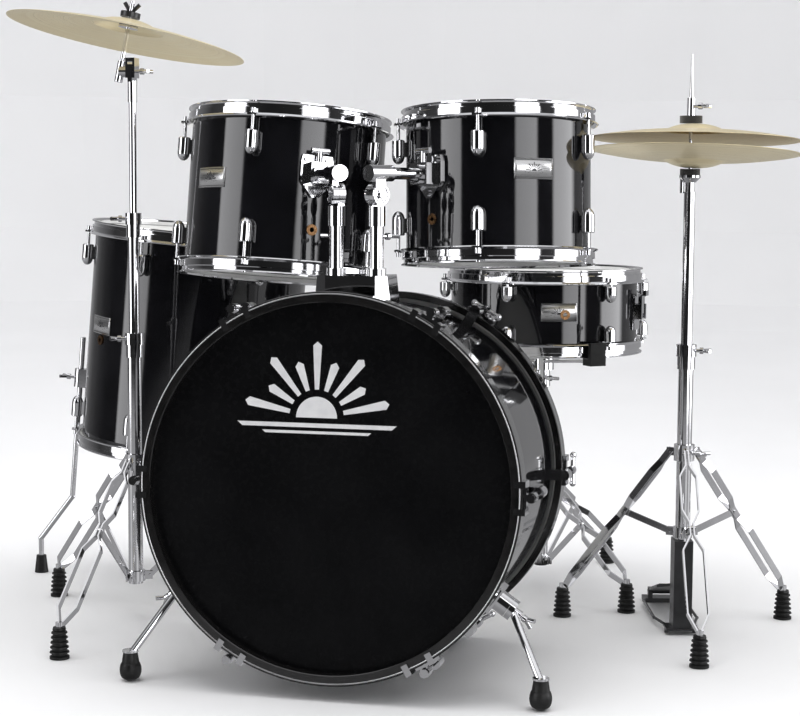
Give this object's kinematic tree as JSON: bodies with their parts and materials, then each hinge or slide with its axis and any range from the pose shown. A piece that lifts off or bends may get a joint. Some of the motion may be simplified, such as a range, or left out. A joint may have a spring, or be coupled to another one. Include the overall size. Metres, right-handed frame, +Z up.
{
  "type": "acoustic drum kit",
  "caption": "Acoustic drum kit with bass drum, mounted toms, floor tom, snare on its stand, hi-hat and crash cymbals on folding tripod stands, and a bass pedal.",
  "frame": {"origin": "centre of the kit's footprint on the floor", "axes": "+Z up; -Y towards the audience, the way the bass drum's front head faces; +X to the hi-hat side"},
  "size_m": [1.4767, 1.1485, 1.0826],
  "materials": {
    "shell_wrap": "high-gloss black wrap over a wooden shell",
    "wood_hoop": "gloss black lacquered wood",
    "chrome": "bright chrome plating",
    "front_head": "satin black film",
    "drum_head": "coated white film",
    "cymbal_brass": "pale brass with fine lathe rings",
    "rubber": "matte black rubber",
    "felt": "pressed black felt",
    "black_metal": "semi-gloss black",
    "pedal_metal": "cast and brushed",
    "steel_wire": "bright drawn wire",
    "badge": "satin plate"
  },
  "bodies": {
    "frame": {"bass_shell": "shell_wrap", "bass_hoops": "wood_hoop", "bass_front_head": "front_head", "bass_batter_head": "drum_head", "bass_hardware": "chrome", "tom_holder_base": "chrome", "floor_tom_shell": "shell_wrap", "floor_tom_hoops": "chrome", "floor_tom_heads": "drum_head", "floor_tom_hardware": "chrome", "snare_stand_base": "chrome", "hihat_base_tube": "chrome", "hihat_pedal_frame": "black_metal", "crash_base_tube": "chrome", "kick_pedal_frame": "pedal_metal"},
    "spur_right": {"spur_right": "chrome"},
    "spur_left": {"spur_left": "chrome"},
    "tom_post_left": {"tom_post_left": "chrome"},
    "tom_left": {"tom_left_shell": "shell_wrap", "tom_left_hoops": "chrome", "tom_left_heads": "drum_head", "tom_left_hardware": "chrome"},
    "tom_post_right": {"tom_post_right": "chrome"},
    "tom_right": {"tom_right_shell": "shell_wrap", "tom_right_hoops": "chrome", "tom_right_heads": "drum_head", "tom_right_hardware": "chrome"},
    "floor_tom_legs": {"floor_tom_legs": "chrome"},
    "snare": {"snare_basket": "chrome", "snare_shell": "shell_wrap", "snare_hoops": "chrome", "snare_heads": "drum_head", "snare_hardware": "chrome", "snare_wires": "steel_wire"},
    "strainer_lever": {"strainer_lever": "chrome"},
    "hihat_upper": {"hihat_upper_tube": "chrome", "hihat_bottom_cymbal": "cymbal_brass"},
    "hihat_rod": {"hihat_pull_rod": "chrome", "hihat_top_cymbal": "cymbal_brass"},
    "hihat_footboard": {"hihat_footboard": "black_metal"},
    "hihat_collar": {"hihat_leg_collar": "chrome"},
    "hihat_leg_1": {"hihat_leg_1": "chrome"},
    "hihat_brace_1": {"hihat_brace_1": "chrome"},
    "hihat_leg_2": {"hihat_leg_2": "chrome"},
    "hihat_brace_2": {"hihat_brace_2": "chrome"},
    "hihat_leg_3": {"hihat_leg_3": "chrome"},
    "hihat_brace_3": {"hihat_brace_3": "chrome"},
    "crash_middle": {"crash_middle_tube": "chrome"},
    "crash_top": {"crash_top_tube": "chrome"},
    "crash_tilter": {"crash_tilter": "chrome"},
    "crash_cymbal": {"crash_cymbal": "cymbal_brass"},
    "crash_collar": {"crash_leg_collar": "chrome"},
    "crash_leg_1": {"crash_leg_1": "chrome"},
    "crash_brace_1": {"crash_brace_1": "chrome"},
    "crash_leg_2": {"crash_leg_2": "chrome"},
    "crash_brace_2": {"crash_brace_2": "chrome"},
    "crash_leg_3": {"crash_leg_3": "chrome"},
    "crash_brace_3": {"crash_brace_3": "chrome"},
    "kick_beater": {"kick_beater": "chrome"},
    "kick_footboard": {"kick_footboard": "pedal_metal"}
  },
  "joints": [
    {"name": "spur_right_fold", "type": "hinge", "parent": "frame", "child": "spur_right", "pos_m": [0.33, -0.4705, 0.135], "axis": [0.827, 0, -0.5622], "range_deg": [0, 90]},
    {"name": "spur_left_fold", "type": "hinge", "parent": "frame", "child": "spur_left", "pos_m": [-0.194, -0.4705, 0.135], "axis": [-0.827, 0, -0.5622], "range_deg": [-90, 0]},
    {"name": "tom_post_left_height", "type": "slide", "parent": "frame", "child": "tom_post_left", "axis": [0, 0, 1], "range_m": [0, 0.06]},
    {"name": "tom_left_tilt", "type": "hinge", "parent": "tom_post_left", "child": "tom_left", "pos_m": [0.0356, -0.3895, 0.755], "axis": [0.8387, 0.5446, 0], "range_deg": [-1, 8]},
    {"name": "tom_post_right_height", "type": "slide", "parent": "frame", "child": "tom_post_right", "axis": [0, 0, 1], "range_m": [0, 0.06]},
    {"name": "tom_right_tilt", "type": "hinge", "parent": "tom_post_right", "child": "tom_right", "pos_m": [0.1004, -0.3895, 0.755], "axis": [0.8387, -0.5446, 0], "range_deg": [-1, 8]},
    {"name": "floor_tom_leg_height", "type": "slide", "parent": "frame", "child": "floor_tom_legs", "axis": [0.0837, 0, 0.9965], "range_m": [0, 0.09]},
    {"name": "snare_height", "type": "slide", "parent": "frame", "child": "snare", "axis": [0, 0, 1], "range_m": [-0.02, 0.04]},
    {"name": "strainer_throw", "type": "hinge", "parent": "snare", "child": "strainer_lever", "pos_m": [0.44665, 0.27762, 0.538], "axis": [0.1564, 0.9877, 0], "range_deg": [0, 80]},
    {"name": "hihat_height", "type": "slide", "parent": "frame", "child": "hihat_upper", "axis": [0, 0, 1], "range_m": [-0.06, 0]},
    {"name": "hihat_pull", "type": "slide", "parent": "frame", "child": "hihat_rod", "axis": [0, 0, 1], "range_m": [-0.014, 0], "stiffness_N_per_m": 900, "springref_m": 0.04},
    {"name": "hihat_pedal", "type": "hinge", "parent": "frame", "child": "hihat_footboard", "pos_m": [0.49856, 0.2253, 0.02], "axis": [-0.9744, -0.225, 0], "range_deg": [-3.4, 0]},
    {"name": "hihat_fold", "type": "slide", "parent": "frame", "child": "hihat_collar", "axis": [0, 0, 1], "range_m": [0, 0.06]},
    {"name": "hihat_leg_1_swing", "type": "hinge", "parent": "hihat_collar", "child": "hihat_leg_1", "pos_m": [0.55861, -0.03691, 0.316], "axis": [0.9781, 0.2079, 0], "range_deg": [0, 12.92]},
    {"name": "hihat_brace_1_swing", "type": "hinge", "parent": "frame", "child": "hihat_brace_1", "pos_m": [0.55799, -0.03398, 0.177], "axis": [0.9781, 0.2079, 0], "range_deg": [-34.21, 0]},
    {"name": "hihat_leg_2_swing", "type": "hinge", "parent": "hihat_collar", "child": "hihat_leg_2", "pos_m": [0.57306, 0.00757, 0.316], "axis": [-0.6691, 0.7431, 0], "range_deg": [0, 12.92]},
    {"name": "hihat_brace_2_swing", "type": "hinge", "parent": "frame", "child": "hihat_brace_2", "pos_m": [0.57084, 0.00556, 0.177], "axis": [-0.6691, 0.7431, 0], "range_deg": [-34.21, 0]},
    {"name": "hihat_leg_3_swing", "type": "hinge", "parent": "hihat_collar", "child": "hihat_leg_3", "pos_m": [0.52732, -0.00216, 0.316], "axis": [-0.309, -0.9511, 0], "range_deg": [0, 12.92]},
    {"name": "hihat_brace_3_swing", "type": "hinge", "parent": "frame", "child": "hihat_brace_3", "pos_m": [0.53017, -0.00308, 0.177], "axis": [-0.309, -0.9511, 0], "range_deg": [-34.21, 0]},
    {"name": "crash_middle_height", "type": "slide", "parent": "frame", "child": "crash_middle", "axis": [0, 0, 1], "range_m": [-0.02, 0.06]},
    {"name": "crash_top_height", "type": "slide", "parent": "crash_middle", "child": "crash_top", "axis": [0, 0, 1], "range_m": [-0.02, 0.06]},
    {"name": "crash_tilt", "type": "hinge", "parent": "crash_top", "child": "crash_tilter", "pos_m": [-0.387, -0.1765, 0.962], "axis": [1, 0, 0], "range_deg": [-20, 20]},
    {"name": "crash_swing", "type": "hinge", "parent": "crash_tilter", "child": "crash_cymbal", "pos_m": [-0.39492, -0.16704, 1.0509], "axis": [0.9877, 0, -0.1564], "range_deg": [-7, 7]},
    {"name": "crash_fold", "type": "slide", "parent": "frame", "child": "crash_collar", "axis": [0, 0, 1], "range_m": [0, 0.06]},
    {"name": "crash_leg_1_swing", "type": "hinge", "parent": "crash_collar", "child": "crash_leg_1", "pos_m": [-0.38982, -0.20335, 0.286], "axis": [0.9945, -0.1045, 0], "range_deg": [0, 20.89]},
    {"name": "crash_brace_1_swing", "type": "hinge", "parent": "frame", "child": "crash_brace_1", "pos_m": [-0.38951, -0.20037, 0.084], "axis": [0.9945, -0.1045, 0], "range_deg": [-21.79, 0]},
    {"name": "crash_leg_2_swing", "type": "hinge", "parent": "crash_collar", "child": "crash_leg_2", "pos_m": [-0.36233, -0.16552, 0.286], "axis": [-0.4067, 0.9135, 0], "range_deg": [0, 20.89]},
    {"name": "crash_brace_2_swing", "type": "hinge", "parent": "frame", "child": "crash_brace_2", "pos_m": [-0.36507, -0.16674, 0.084], "axis": [-0.4067, 0.9135, 0], "range_deg": [-21.79, 0]},
    {"name": "crash_leg_3_swing", "type": "hinge", "parent": "crash_collar", "child": "crash_leg_3", "pos_m": [-0.40884, -0.16063, 0.286], "axis": [-0.5878, -0.809, 0], "range_deg": [0, 20.89]},
    {"name": "crash_brace_3_swing", "type": "hinge", "parent": "frame", "child": "crash_brace_3", "pos_m": [-0.40642, -0.16239, 0.084], "axis": [-0.5878, -0.809, 0], "range_deg": [-21.79, 0]},
    {"name": "kick_beater_swing", "type": "hinge", "parent": "frame", "child": "kick_beater", "pos_m": [0.068, -0.08211, 0.158], "axis": [1, 0, 0], "range_deg": [0, 46], "stiffness_Nm_per_rad": 0.35, "springref_deg": -68.75},
    {"name": "kick_pedal", "type": "hinge", "parent": "frame", "child": "kick_footboard", "pos_m": [0.068, 0.14089, 0.02], "axis": [1, 0, 0], "range_deg": [0, 4.31]}
  ],
  "couplings": [
    {"joint": "hihat_pedal", "follows": "hihat_pull", "rad_per_m": 4.1322},
    {"joint": "hihat_leg_1_swing", "follows": "hihat_fold", "rad_per_m": 3.6701},
    {"joint": "hihat_brace_1_swing", "follows": "hihat_fold", "rad_per_m": -9.8653},
    {"joint": "hihat_leg_2_swing", "follows": "hihat_fold", "rad_per_m": 3.6701},
    {"joint": "hihat_brace_2_swing", "follows": "hihat_fold", "rad_per_m": -9.8653},
    {"joint": "hihat_leg_3_swing", "follows": "hihat_fold", "rad_per_m": 3.6701},
    {"joint": "hihat_brace_3_swing", "follows": "hihat_fold", "rad_per_m": -9.8653},
    {"joint": "crash_leg_1_swing", "follows": "crash_fold", "rad_per_m": 5.9902},
    {"joint": "crash_brace_1_swing", "follows": "crash_fold", "rad_per_m": -6.2514},
    {"joint": "crash_leg_2_swing", "follows": "crash_fold", "rad_per_m": 5.9902},
    {"joint": "crash_brace_2_swing", "follows": "crash_fold", "rad_per_m": -6.2514},
    {"joint": "crash_leg_3_swing", "follows": "crash_fold", "rad_per_m": 5.9902},
    {"joint": "crash_brace_3_swing", "follows": "crash_fold", "rad_per_m": -6.2514},
    {"joint": "kick_pedal", "follows": "kick_beater_swing", "ratio": 0.0893}
  ]
}
